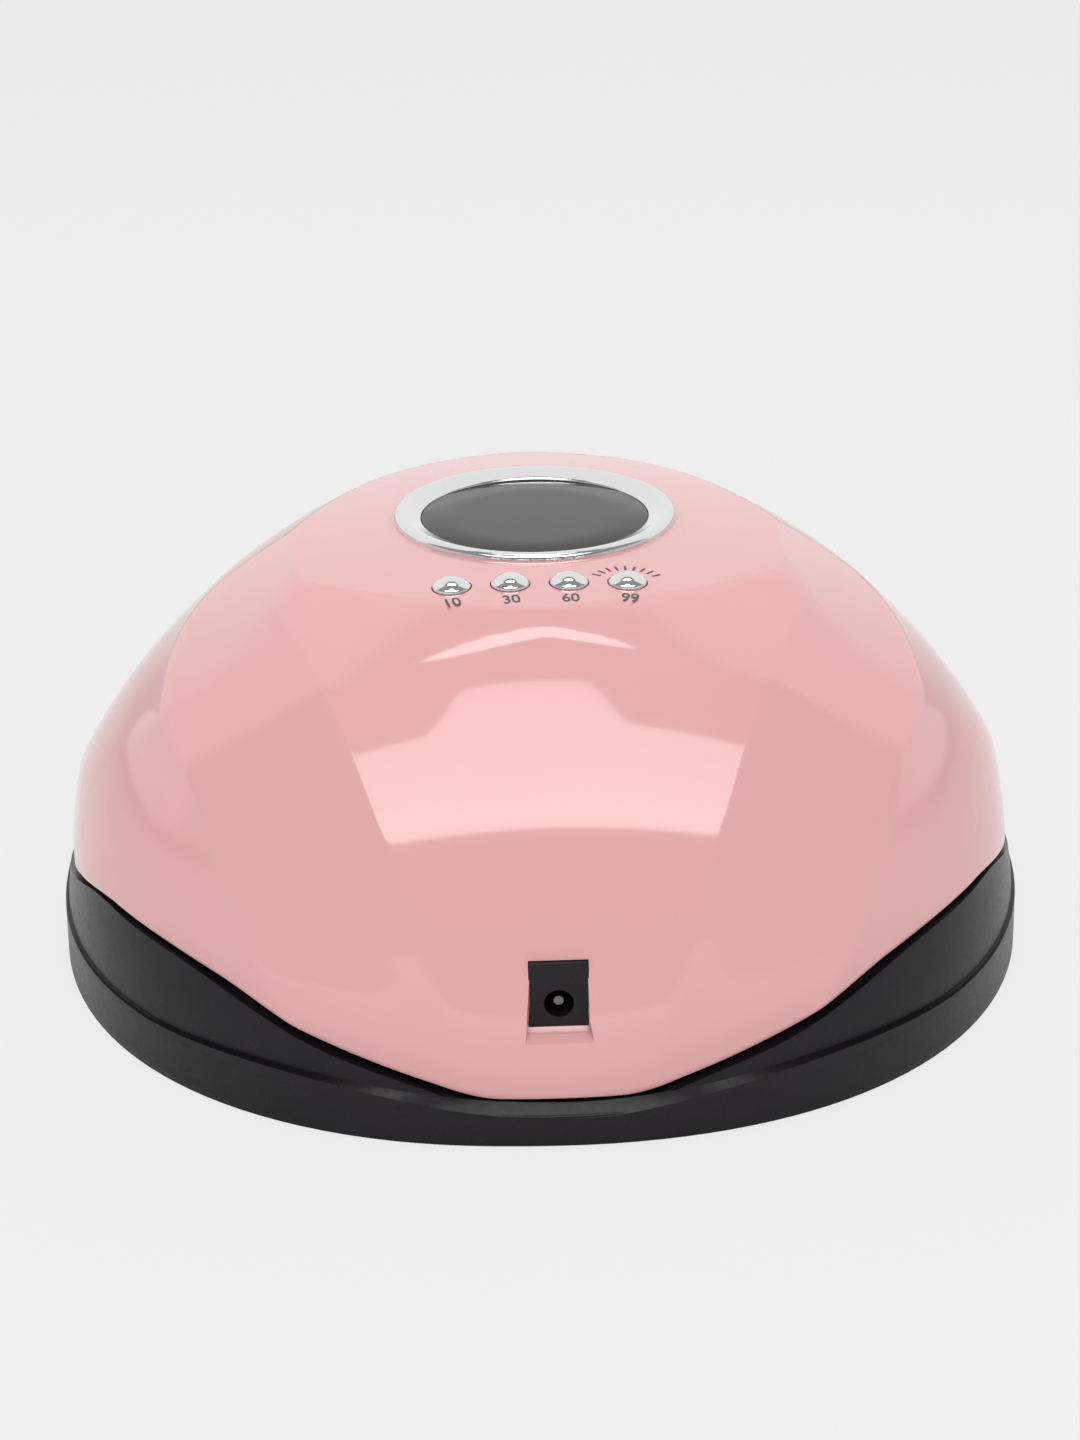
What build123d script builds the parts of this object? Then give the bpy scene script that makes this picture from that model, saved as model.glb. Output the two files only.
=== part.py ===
"""UV/LED nail lamp: a shell ridged like a scallop on a stepped black base, with a domed hand chamber.

Units are millimetres. +Z is up, the hand opening faces -Y and the DC inlet faces +Y.
The origin is on the floor, under the centre of the outline's box.
"""
from build123d import *

import os
from math import atan2, cos, degrees, exp, hypot, log, pi, sin, sqrt

# ---- base outline ----
base_width = 235.0
base_depth = 209.0
widest_line_y = -17.5            # the outline has its full width here
outline_power_back = 2.21        # superellipse exponents of the two halves
outline_power_front = 2.5
outline_points = 28              # spline points round the outline

# ---- base housing ----
base_wall = 2.4
skirt_foot_z = 0.6               # the skirt stays this far off the floor
skirt_lean = 0.02                # how fast the skirt leans in with height
ledge_back_z = 6.8               # height of the step in the skirt
ledge_side_z = 13.0
ledge_rise_y = 62.0              # the step has reached its side height here
band_sections = ((3.0, 0.8, 0.8), (13.0, 1.0, 3.0), (36.6, 6.9, 10.0))     # height, inset at side and back
band_wall = 2.0
band_gap = 1.4                   # shadow gap between the band and the shell's edge
lip_height = 5.0                 # the lip that the shell slips over
lip_thickness = 1.6
plate_z = 2.6                    # underside of the floor plate
plate_thickness = 2.0
sill_width = 12.0                # width of the base across the hand opening

# ---- shell ----
shell_wall = 2.4
shell_fit = 0.3                  # clearance between the shell and what it slips over
facet_heights = (10.0, 55.0, 100.0)     # a facet's three radii are given at these heights
facet_blend = 1.2                # softness of the ridges between facets
form_heights = (18.0, 36.0, 52.0, 66.0, 78.0, 88.0, 97.0)
form_top_z = 105.0
form_points = 60                 # spline points round each section of the shell
# each facet: centre X, centre Y at the lowest and highest of those heights, three radii
back_facet = (0.0, (-28.0, -8.5), (131.3, 113.8, 61.6))
side_facet = (-5.3, (-21.5, -21.5), (124.5, 118.3, 73.0))       # the one that faces +X
brow_facet = (-8.0, (0.0, 0.0), (132.8, 114.3, 66.5))           # beside the console, faces +X
skirt_facet_width = (113.6, 108.8, 64.2)                # half-widths of the lower barrel
skirt_facet_back = (119.3, 108.0, 71.0)                 # its reach behind the widest line
crown_z = 103.4                  # top of the console's shallow dome
crown_radius = 490.0
crown_y = -2.1
# the shell's lower edge: it rises outwards along the back (X, Z), and along the sides from the front (Y, Z)
edge_rise = ((13.0, 10.2), (28.0, 13.4), (54.0, 20.6), (74.0, 28.3), (102.0, 31.6))
edge_fall = ((-45.0, 16.5), (3.0, 22.0), (24.0, 28.0), (46.0, 31.6))

# ---- hand chamber ----
chamber_radius = 84.0            # inside the liner, at its foot
chamber_y = -12.0
wall_top_radius = 79.0
wall_top_z = 33.0
slope_top_radius = 54.0
roof_z = 61.0
chamber_corner = 9.0
liner_wall = 1.6
frame_wall = 3.0                 # trim round the hand opening
frame_proud = 1.4                # the trim stands this far out of the shell
frame_back_y = -76.0             # the trim meets the liner here
part_gap = 0.3                   # gap between pieces that only butt

# ---- LEDs ----
led_radius = 2.8
led_clear = 0.25
led_flange_radius = 3.5
led_flange = 1.0
led_tip = 1.4                    # how far a lens stands into the chamber
led_tip_radius = 1.3
strip_thickness = 1.2
strip_width = 11.0
strip_seat = 0.1
strip_margin = 7.0               # degrees left free at each end of a bent strip
arc_led_count = 7                # on each row round the back of the chamber
side_led_count = 2               # on each flat board along a side
side_led_pitch = 24.0
roof_led_count = 6
roof_led_radius = 28.0
roof_board_radius = 41.0

# ---- hand sensor ----
sensor_y = -62.0
sensor_pitch = 9.0
sensor_radius = 2.0
sensor_board_size = (26.0, 12.0)

# ---- console ----
ring_y = -11.9
ring_radius = 33.4
ring_bore = 27.0
ring_top_z = 104.4
ring_lip = 1.2                   # roundness of the ring's outer edge
ring_bevel_z = 102.9             # where the ring's bevel meets the window
ring_seat_z = 101.2
ring_skirt_radius = 30.4
ring_skirt_wall = 1.4
ring_skirt_z = 97.4
collar_radius = 36.5
collar_z = 98.6
window_flange = 1.4
button_count = 4
button_pitch = 13.05
button_first_x = 20.2
button_y = 33.4
button_radius = 4.3
button_dome = 2.4
button_rim = 0.3                 # straight part of the button above the shell
button_flange_radius = 5.6
button_flange = 0.9
button_stem_radius = 2.2
button_clear = 0.25
button_travel = 0.6
press_gap = 0.05                 # left between stem and switch at full travel
guide_thickness = 1.4
guide_width = 12.0
guide_foot = 3.0
switch_size = 6.0
switch_body = 3.0
switch_knob_radius = 1.7
switch_knob = 1.0
board_radius = 50.0
board_thickness = 1.6
board_z = 92.0                   # top face of the control board
display_size = (40.0, 21.0, 7.2)
pillar_radius = 3.2
pillar_places = ((-38.0, 12.0), (38.0, 12.0), (-30.0, -36.0), (30.0, -36.0))
pilot_radius = 1.2
board_screw_length = 5.0

# ---- DC inlet ----
inlet_z = 30.5                   # axis of the inlet's hole
inlet_face_y = 96.2
inlet_half_width = 6.2
inlet_low_z = 25.0
inlet_high_z = 40.0
inlet_depth = 12.0
inlet_hole_radius = 3.2
inlet_hole_depth = 9.0
inlet_pin_radius = 1.05
inlet_pin_length = 7.6            # its tip is a little behind the face
inlet_clear = 0.2
pocket_wall = 1.8
pocket_slope = 0.6               # drop of the pocket's sill for each mm out
backing_reach = (4.0, 1.0)       # the pocket's wall passes the inlet's face by this, at its foot and top

# ---- tray ----
tray_clear = 0.4
tray_flange_width = 8.0
tray_z = 0.8
tray_thickness = 1.5
magnet_radius = 3.0
magnet_thickness = 1.0
magnet_places = ((-88.0, -58.0), (88.0, -58.0), (-62.0, 50.0), (62.0, 50.0))

# ---- feet and screws ----
foot_radius = 5.0
foot_recess = 0.8
foot_places = ((-98.5, -58.0), (98.5, -58.0), (-54.0, 78.0), (54.0, 78.0))
screw_places = ((-101.0, -22.0), (101.0, -22.0), (-84.0, 50.0), (84.0, 50.0), (-27.0, 90.0), (27.0, 90.0))
screw_head_radius = 2.7
screw_head = 1.6
screw_shank_radius = 1.2
screw_length = 9.0
post_radius = 3.4
post_top_z = 75.0                # longer than any post: the shell ends them

back_reach = base_depth / 2 - widest_line_y
front_reach = base_depth / 2 + widest_line_y
plate_top = plate_z + plate_thickness
far = base_width                 # longer than anything that it cuts


# ---- curves ----
class Arc:
    """A profile arc through three radii, at the facet heights."""

    def __init__(self, radii):
        (r0, r1, r2), (z0, z1, z2) = radii, facet_heights
        a11, a12 = 2 * (r1 - r0), 2 * (z1 - z0)
        a21, a22 = 2 * (r2 - r0), 2 * (z2 - z0)
        b1 = r1**2 - r0**2 + z1**2 - z0**2
        b2 = r2**2 - r0**2 + z2**2 - z0**2
        det = a11 * a22 - a12 * a21
        self.r = (b1 * a22 - a12 * b2) / det
        self.z = (a11 * b2 - a21 * b1) / det
        self.radius = hypot(r0 - self.r, z0 - self.z)

    def reach(self, z, inset):
        """Radius at a height, on the arc moved inwards by inset."""
        return self.r + sqrt(max((self.radius - inset) ** 2 - (z - self.z) ** 2, 0.0))


def superellipse(azimuth, half_width, half_depth, power):
    """Distance from the centre to a superellipse, at an azimuth."""
    across, along = abs(cos(azimuth)) / half_width, abs(sin(azimuth)) / half_depth
    return (across**power + along**power) ** (-1 / power)


def circle_reach(azimuth, x, y, radius):
    """Distance from the widest line's centre to a circle round x, y."""
    dx, dy = x, y - widest_line_y
    ahead = dx * cos(azimuth) + dy * sin(azimuth)
    return ahead + sqrt(ahead**2 - dx**2 - dy**2 + radius**2)


facet_arcs = []
for facet_x, facet_ys, facet_radii in (back_facet, side_facet, brow_facet):
    for side in (1, -1):
        facet_arcs.append((side * facet_x, facet_ys, Arc(facet_radii)))
skirt_width_arc, skirt_back_arc = Arc(skirt_facet_width), Arc(skirt_facet_back)


def form_reach(azimuth, z, inset):
    """Radius of the ridged form: the smallest facet, blended softly with its neighbours."""
    rise = (z - facet_heights[0]) / (facet_heights[-1] - facet_heights[0])
    reaches = []
    for x, (low_y, high_y), arc in facet_arcs:
        reaches.append(circle_reach(azimuth, x, low_y + rise * (high_y - low_y), arc.reach(z, inset)))
    behind = sin(azimuth) > 0
    half_width = skirt_width_arc.reach(z, inset)
    half_depth = skirt_back_arc.reach(z, inset) * (1 if behind else front_reach / back_reach)
    power = outline_power_back if behind else outline_power_front
    reaches.append(superellipse(azimuth, half_width, half_depth, power))
    least = min(reaches)
    return least - facet_blend * log(sum(exp((least - r) / facet_blend) for r in reaches))


def section(z, count, reach):
    """A closed face at a height, through points at reach(azimuth) round the widest line's centre."""
    points = []
    for i in range(count):
        azimuth = pi / 2 + 2 * pi * i / count
        radius = reach(azimuth)
        points.append((radius * cos(azimuth), widest_line_y + radius * sin(azimuth)))
    return Pos(0, 0, z) * make_face(Spline(*points, periodic=True))


def outline(z, side_inset, back_inset=None):
    """The base's outline, moved inwards; the back's inset may differ from the sides'."""
    def reach(azimuth):
        behind = sin(azimuth) > 0
        extra = (back_inset - side_inset) * sin(azimuth) ** 4 if behind and back_inset else 0
        half_depth = (back_reach if behind else front_reach) - side_inset
        power = outline_power_back if behind else outline_power_front
        return superellipse(azimuth, base_width / 2 - side_inset, half_depth, power) - extra
    return section(z, outline_points, reach)


def outline_block(low, high, inset):
    """A block on the outline that leans in a little with height."""
    return loft([outline(low, inset + skirt_lean * low), outline(high, inset + skirt_lean * high)])


def band_block(inset, top):
    """The leaning band above the step, carried down into the skirt, moved inwards by inset."""
    sections = [outline(z, side + inset, back + inset) for z, side, back in band_sections[:-1]]
    z, side, back = band_sections[-1]
    return loft(sections + [outline(z + top, side + inset, back + inset)])


def flank(inset, low, high):
    """The ridged sides of the shell's form between two heights, moved inwards by inset."""
    heights = [low] + [z for z in form_heights if low < z < high] + [high]
    return loft([section(z, form_points, lambda a: form_reach(a, z, inset)) for z in heights])


def form(inset):
    """The shell's whole outer form, or that form moved inwards."""
    crown = Pos(0, crown_y, crown_z - crown_radius) * Sphere(crown_radius - inset)
    return flank(inset, plate_top, form_top_z) & crown


def crown_height(x, y):
    return crown_z - crown_radius + sqrt(crown_radius**2 - x**2 - (y - crown_y) ** 2)


def under_curve(points, start, end):
    """A face under a smooth curve through points, carried level to start and end at its two sides."""
    curve = Spline(*points, tangents=((1, 0), (1, 0)))
    rest = Polyline(points[-1], (end, points[-1][1]), (end, -far), (start, -far),
                    (start, points[0][1]), points[0])
    return make_face(curve + rest)


def under_edge(shift):
    """Everything below the shell's wavy lower edge, moved up by shift."""
    rise = under_curve([(x, z + shift) for x, z in edge_rise], 0, far)
    fall = under_curve([(y, z + shift) for y, z in edge_fall], -far, edge_fall[-1][0] + 0.1)
    half = Pos(0, edge_fall[-1][0], 0) * extrude(Plane.XZ * rise, -far)
    return half + mirror(half, Plane.YZ) + extrude(Plane.YZ * fall, far, both=True)


def under_ledge():
    """Everything below the step in the skirt."""
    back = base_depth / 2
    rise = Spline((ledge_rise_y, ledge_side_z), (back, ledge_back_z), tangents=((1, -0.02), (0.6, -1)))
    rest = Polyline((back, ledge_back_z), (far, ledge_back_z), (far, -far), (-far, -far),
                    (-far, ledge_side_z), (ledge_rise_y, ledge_side_z))
    return extrude(Plane.YZ * make_face(rise + rest), far, both=True)


def chamber_profile(grow):
    """Half of the chamber's cross-section, from its axis out, moved outwards by grow."""
    wall = make_face(Polyline((0, roof_z), (slope_top_radius, roof_z), (wall_top_radius, wall_top_z),
                              (chamber_radius, plate_top), (chamber_radius, -far), (0, -far), close=True))
    quarter = Pos(far / 2, plate_top + far / 2) * Rectangle(far, far)
    face = offset(wall, grow, kind=Kind.INTERSECTION) & quarter if grow else wall & quarter
    corners = [v for v in face.vertices() if v.X > 1 and v.Y > wall_top_z - 1]
    return fillet([v for v in corners if v.X > slope_top_radius - 1], chamber_corner + grow)


def vault(outer, inner=None):
    """The chamber's form, or the wall between two of them: a dome behind, a straight vault ahead."""
    half = chamber_profile(outer)
    if inner is not None:
        half -= chamber_profile(inner)
    dome = revolve(Plane.XZ * half, Axis.Z, 180)
    tunnel = extrude(Plane.XZ * (half + mirror(half, Plane.YZ)), far)
    return Pos(0, chamber_y, 0) * (dome + tunnel)


def chamber_plan(grow, z):
    """Plan of the tray's opening: round behind, straight-sided, closed by the sill in front."""
    radius = chamber_radius + grow
    straight = Pos(0, chamber_y - far / 2) * Rectangle(2 * radius, far)
    sketch = Pos(0, chamber_y) * Circle(radius) + straight
    return Pos(0, 0, z) * (sketch & outline(0, sill_width - grow))


def wall_between(outer, inner):
    """The wall between two nested forms that stand at the same height, open at the foot."""
    foot = outer.bounding_box().min.Z
    feet = [form.faces().sort_by(Axis.Z)[0].outer_wire() for form in (outer, inner)]
    rest = [face for form in (outer, inner) for face in form.faces() if face.center().Z > foot + 0.01]
    return Part() + Solid(Shell(rest + [Face(feet[0], feet[1:])]))


def slab(low, high):
    return Pos(0, 0, (low + high) / 2) * Box(2 * far, 2 * far, high - low)


def disc(x, y, low, high, radius):
    return Pos(x, y, (low + high) / 2) * Cylinder(radius, high - low)


def turned(*points):
    """A solid of revolution about Z from its half-profile."""
    return revolve(Plane.XZ * make_face(Polyline(*points, close=True)), Axis.Z)


# ---- the forms that pieces share ----
opening_form = vault(frame_wall + shell_fit)
ahead = Pos(0, chamber_y - far / 2, 0) * Box(2 * far, far, 2 * far)
liner_seat = liner_wall + part_gap               # an LED's flange starts this far from the chamber
strip_face = liner_seat + led_flange + strip_seat
wall_row = ((chamber_radius, plate_top), (wall_top_radius, wall_top_z))
slope_row = ((wall_top_radius, wall_top_z), (slope_top_radius, roof_z))
roof_board_z = roof_z + strip_face
flange_top_z = crown_height(button_first_x + button_flange_radius, button_y + button_flange_radius)
flange_top_z -= shell_wall + part_gap
switch_top_z = board_z + switch_body + switch_knob
guide_top_z = flange_top_z - button_flange - button_travel - 3 * press_gap


def pocket(clear):
    """The recess for the DC inlet, whose sill falls away outwards."""
    reach = back_reach - inlet_face_y + clear
    side_view = Polyline((inlet_face_y, inlet_low_z - clear), (inlet_face_y, inlet_high_z + clear),
                         (inlet_face_y + reach, inlet_high_z + clear),
                         (inlet_face_y + reach, inlet_low_z - clear - pocket_slope * reach), close=True)
    return extrude(Plane.YZ * make_face(side_view), inlet_half_width + clear, both=True)


def inlet_block(clear, depth):
    height = inlet_high_z - inlet_low_z
    block = Box(2 * (inlet_half_width + clear), depth, height + 2 * clear)
    return Pos(0, inlet_face_y - depth / 2, (inlet_low_z + inlet_high_z) / 2) * block


def button_spots():
    for i in range(button_count):
        yield button_first_x - i * button_pitch, button_y


def on_row(row, azimuth, forward=0):
    """Where an LED of a row stands: its axis out of the chamber, its origin on the chamber's face."""
    (r0, z0), (r1, z1) = row
    tilt = degrees(atan2(z1 - z0, r0 - r1))
    middle = Pos((r0 + r1) / 2, 0, (z0 + z1) / 2) * Rot(0, tilt, 0)
    return Pos(0, chamber_y - forward, 0) * Rot(0, 0, azimuth) * middle


def row_spots(row):
    step = 180 / arc_led_count
    for i in range(arc_led_count):
        yield on_row(row, step * (i + 0.5))
    for i in range(side_led_count):
        for azimuth in (0, 180):
            yield on_row(row, azimuth, side_led_pitch * (i + 0.75))


def roof_spots():
    for i in range(roof_led_count):
        yield Pos(0, chamber_y, roof_z) * Rot(0, 0, 360 / roof_led_count * i) * Pos(roof_led_radius, 0, 0)


def sensor_spots():
    for x in (-sensor_pitch / 2, sensor_pitch / 2):
        yield x, sensor_y


# ---- pieces ----
def make_shell():
    posts = Part() + [disc(x, y, plate_top, post_top_z, post_radius) for x, y in screw_places]
    posts &= flank(shell_wall / 2, plate_top, post_top_z + 1)
    pillar_top_z = crown_height(*pillar_places[0]) - shell_wall / 2
    pillars = [disc(x, y, board_z, pillar_top_z, pillar_radius) for x, y in pillar_places]
    collar_top_z = crown_height(0, ring_y + collar_radius) - shell_wall / 2
    collar = disc(0, ring_y, collar_z, collar_top_z, collar_radius)
    back_y, low_z, high_z = inlet_face_y - pocket_wall, inlet_low_z - pocket_wall, inlet_high_z + pocket_wall
    side_view = Polyline((back_y, low_z), (back_y, high_z), (inlet_face_y + backing_reach[1], high_z),
                         (inlet_face_y + backing_reach[0], low_z), close=True)
    backing = extrude(Plane.YZ * make_face(side_view), inlet_half_width + pocket_wall, both=True)
    shell = wall_between(form(0), form(shell_wall)) + [posts, collar, backing] + pillars
    cuts = [under_edge(0), pocket(0), inlet_block(inlet_clear, inlet_depth), opening_form & ahead]
    cuts += [disc(0, ring_y, collar_z - 1, crown_z + 1, ring_skirt_radius + inlet_clear)]
    cuts += [disc(0, ring_y, ring_seat_z, crown_z + 1, ring_radius + inlet_clear)]
    cuts += [disc(x, y, board_z, crown_z + 1, button_radius + button_clear) for x, y in button_spots()]
    cuts += [disc(x, y, plate_top, plate_top + screw_length, pilot_radius) for x, y in screw_places]
    cuts += [disc(x, y, board_z, board_z + board_screw_length, pilot_radius) for x, y in pillar_places]
    return shell - cuts


def make_base():
    """Skirt, leaning band and lip, standing on a floor plate with the tray's opening in it."""
    top = edge_rise[-1][1] + lip_height
    skirt = wall_between(outline_block(skirt_foot_z, top, 0), outline_block(skirt_foot_z, top - 1, base_wall))
    band = wall_between(band_block(0, 0), band_block(band_wall, -1)) & under_edge(-band_gap)
    lip_inset, foot = shell_wall + shell_fit, plate_z + plate_thickness / 2
    lip = wall_between(flank(lip_inset, foot, top + 8), flank(lip_inset + lip_thickness, foot, top + 7))
    plate = outline_block(plate_z, plate_top, base_wall / 2)
    plate -= extrude(chamber_plan(0, plate_z), plate_thickness)
    base = (skirt & under_ledge()) + [band, lip & under_edge(lip_height), plate]
    cuts = [opening_form & ahead]
    cuts += [disc(x, y, 0, plate_z + foot_recess, foot_radius + button_clear) for x, y in foot_places]
    cuts += [disc(x, y, 0, plate_top + 1, screw_shank_radius + button_clear) for x, y in screw_places]
    cuts += [disc(x, y, 0, plate_z + magnet_thickness, magnet_radius) for x, y in magnet_places]
    return base - cuts


def make_frame():
    """Trim round the hand opening."""
    front = Pos(0, frame_back_y - far / 2, 0) * Box(2 * far, far, 2 * far)
    return vault(frame_wall, 0) & front & flank(-frame_proud, plate_z, roof_z + 2 * frame_wall)


def make_liner():
    behind = Pos(0, frame_back_y + part_gap + far / 2, 0) * Box(2 * far, far, 2 * far)
    liner = vault(liner_wall, 0) & behind
    drill = Cylinder(led_radius + led_clear, 4 * liner_wall)
    holes = [spot * drill for row in (wall_row, slope_row) for spot in row_spots(row)]
    holes += [spot * drill for spot in roof_spots()]
    holes += [disc(x, y, roof_z - 1, roof_z + 3, sensor_radius + led_clear) for x, y in sensor_spots()]
    return liner - holes


def make_led():
    """An LED whose lens points down its axis; z 0 is level with the chamber's face."""
    flange_z = liner_seat + led_flange
    return turned((0, -led_tip), (led_tip_radius, -led_tip), (led_radius, 0), (led_radius, liner_seat),
                  (led_flange_radius, liner_seat), (led_flange_radius, flange_z), (0, flange_z))


def make_strip(row):
    """A bent strip that carries the LEDs round the back of the chamber."""
    (r0, z0), (r1, z1) = row
    lie = 90 - degrees(atan2(z1 - z0, r0 - r1))
    mid = Pos((r0 + r1) / 2, (z0 + z1) / 2) * Rot(0, 0, lie) * Pos(strip_face + strip_thickness / 2, 0)
    bent = revolve(Plane.XZ * (mid * Rectangle(strip_thickness, strip_width)), Axis.Z, 180 - 2 * strip_margin)
    return Pos(0, chamber_y, 0) * Rot(0, 0, strip_margin) * bent


def make_side_boards():
    length = side_led_count * side_led_pitch
    board = Pos(0, 0, strip_face + strip_thickness / 2) * Box(strip_width, length, strip_thickness)
    middle = side_led_pitch * (side_led_count / 2 + 0.25)
    return [on_row(row, azimuth, middle) * board for row in (wall_row, slope_row) for azimuth in (0, 180)]


def make_sensor_board():
    return Pos(0, sensor_y, roof_board_z + strip_thickness / 2) * Box(*sensor_board_size, strip_thickness)


def make_ring():
    """Chrome ring: a rounded outer lip, a bevel down to the window and a skirt into the shell."""
    inner = ring_skirt_radius - ring_skirt_wall
    profile = Polyline(
        (ring_skirt_radius, ring_skirt_z), (ring_skirt_radius, ring_seat_z), (ring_radius, ring_seat_z),
        (ring_radius, ring_top_z - ring_lip), (ring_radius - ring_lip, ring_top_z), (ring_bore, ring_bevel_z),
        (ring_bore, ring_bevel_z - 1), (inner, ring_bevel_z - 1), (inner, ring_skirt_z), close=True)
    face = make_face(profile)
    lip = [v for v in face.vertices() if v.Y > ring_top_z - ring_lip - 0.1]
    return Pos(0, ring_y, 0) * revolve(Plane.XZ * fillet(lip, ring_lip / 2), Axis.Z)


def make_window():
    """Dark window with a step under the ring's bore."""
    top = ring_bevel_z - press_gap
    step = ring_bevel_z - 1 - press_gap
    inner = ring_skirt_radius - ring_skirt_wall - press_gap
    window = turned((0, step - window_flange), (inner, step - window_flange), (inner, step),
                    (ring_bore - press_gap, step), (ring_bore - press_gap, top), (0, top))
    return Pos(0, ring_y, 0) * window


def make_button(x, y):
    """A domed cap on a flange that stops it under the shell, with a stem over its switch."""
    rim_z = crown_height(x, y) + button_rim
    bend = (button_radius**2 + button_dome**2) / (2 * button_dome)
    middle = atan2(button_radius, bend - button_dome) / 2
    middle_z = rim_z + button_dome - bend * (1 - cos(middle))
    dome = ThreePointArc((button_radius, rim_z), (bend * sin(middle), middle_z), (0, rim_z + button_dome))
    stem_z = switch_top_z + button_travel + press_gap
    flange_z = flange_top_z - button_flange
    side = Polyline((0, rim_z + button_dome), (0, stem_z), (button_stem_radius, stem_z),
                    (button_stem_radius, flange_z), (button_flange_radius, flange_z),
                    (button_flange_radius, flange_top_z), (button_radius, flange_top_z),
                    (button_radius, rim_z))
    return Pos(x, y, 0) * revolve(Plane.XZ * make_face(dome + side), Axis.Z)


def make_guide():
    """Bar on the board whose bores keep the buttons' stems upright."""
    length = button_pitch * button_count
    middle = button_first_x - button_pitch * (button_count - 1) / 2
    bar = Pos(middle, button_y, guide_top_z - guide_thickness / 2) * Box(length, guide_width, guide_thickness)
    height = guide_top_z - board_z
    feet = [Pos(middle + side * (length + guide_foot) / 2, button_y, board_z + height / 2)
            * Box(guide_foot, guide_width, height) for side in (-1, 1)]
    return bar + feet - [disc(x, y, board_z, guide_top_z + 1, button_stem_radius + button_clear)
                         for x, y in button_spots()]


def make_board():
    """Control board with clearance holes for its four screws."""
    low_z, hole_radius = board_z - board_thickness, screw_shank_radius + button_clear
    return disc(0, crown_y, low_z, board_z, board_radius) - [
        disc(x, y, low_z - 1, board_z + 1, hole_radius) for x, y in pillar_places]


def make_switches():
    switches = []
    for x, y in button_spots():
        body = Pos(x, y, board_z + switch_body / 2) * Box(switch_size, switch_size, switch_body)
        switches.append(body + disc(x, y, board_z, switch_top_z, switch_knob_radius))
    return switches


def make_screws(places, seat_z, length):
    """Screws driven upwards, their heads under seat_z."""
    low_z, shank_radius = seat_z - screw_head, screw_shank_radius - press_gap
    return [disc(x, y, low_z, seat_z, screw_head_radius) + disc(x, y, low_z, seat_z + length, shank_radius)
            for x, y in places]


def make_inlet():
    hole_y = inlet_face_y - inlet_hole_depth / 2
    hole = Pos(0, hole_y, inlet_z) * Rot(90, 0, 0) * Cylinder(inlet_hole_radius, inlet_hole_depth)
    return inlet_block(0, inlet_depth) - hole


def make_tray():
    """Lift-out floor: a shallow pan that fills the opening, on a flange under the floor plate."""
    pan = extrude(chamber_plan(-tray_clear, tray_z), plate_top - tray_z)
    hollow = extrude(chamber_plan(-tray_clear - tray_thickness, tray_z), plate_top - tray_z - tray_thickness)
    flange = extrude(chamber_plan(tray_flange_width, tray_z), tray_thickness)
    return pan + flange - hollow - magnets(tray_z + tray_thickness - magnet_thickness)


def magnets(low_z):
    return [disc(x, y, low_z, low_z + magnet_thickness, magnet_radius) for x, y in magnet_places]


pin_y = inlet_face_y - inlet_hole_depth + press_gap + inlet_pin_length / 2
pieces = {
    "top_shell": make_shell(),
    "base_housing": make_base(),
    "opening_frame": make_frame(),
    "reflector_dome": make_liner(),
    "led_strip_lower": make_strip(wall_row),
    "led_strip_slope": make_strip(slope_row),
    "led_side_boards": make_side_boards(),
    "led_roof_board": disc(0, chamber_y, roof_board_z, roof_board_z + strip_thickness, roof_board_radius),
    "leds_lower": [spot * make_led() for spot in row_spots(wall_row)],
    "leds_slope": [spot * make_led() for spot in row_spots(slope_row)],
    "leds_roof": [spot * make_led() for spot in roof_spots()],
    "sensor_board": make_sensor_board(),
    "sensor_eyes": [disc(x, y, roof_z - led_tip, roof_board_z, sensor_radius) for x, y in sensor_spots()],
    "bezel_ring": make_ring(),
    "display_window": make_window(),
    "display_module": Pos(0, ring_y, board_z + display_size[2] / 2) * Box(*display_size),
    "control_board": make_board(),
    "board_screws": make_screws(pillar_places, board_z - board_thickness, board_screw_length),
    "tact_switches": make_switches(),
    "button_guide": make_guide(),
    "dc_inlet_body": make_inlet(),
    "dc_inlet_pin": Pos(0, pin_y, inlet_z) * Rot(90, 0, 0) * Cylinder(inlet_pin_radius, inlet_pin_length),
    "bottom_tray": make_tray(),
    "tray_magnets": magnets(tray_z + tray_thickness - magnet_thickness),
    "housing_magnets": magnets(plate_z),
    "rubber_feet": [disc(x, y, 0, plate_z + foot_recess, foot_radius) for x, y in foot_places],
    "base_screws": make_screws(screw_places, plate_z, screw_length),
}
for minutes, (x, y) in zip((10, 30, 60, 99), button_spots()):
    pieces[f"timer_button_{minutes}"] = make_button(x, y)

os.makedirs("parts", exist_ok=True)
for node, shape in pieces.items():
    whole = Compound(shape) if isinstance(shape, list) else shape
    export_step(whole, f"parts/{node}.step")
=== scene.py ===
"""Looks of the nail lamp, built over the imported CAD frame.

The CAD's formulas are repeated here in millimetres, and every mesh is scaled to metres as it is made.
+Z is up, the hand opening faces -Y and the DC inlet, which the camera sees, faces +Y.
"""
from math import atan2, cos, degrees, exp, hypot, log, pi, radians, sin, sqrt, tan

import bmesh
import bpy
from mathutils import Matrix, Vector


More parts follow.
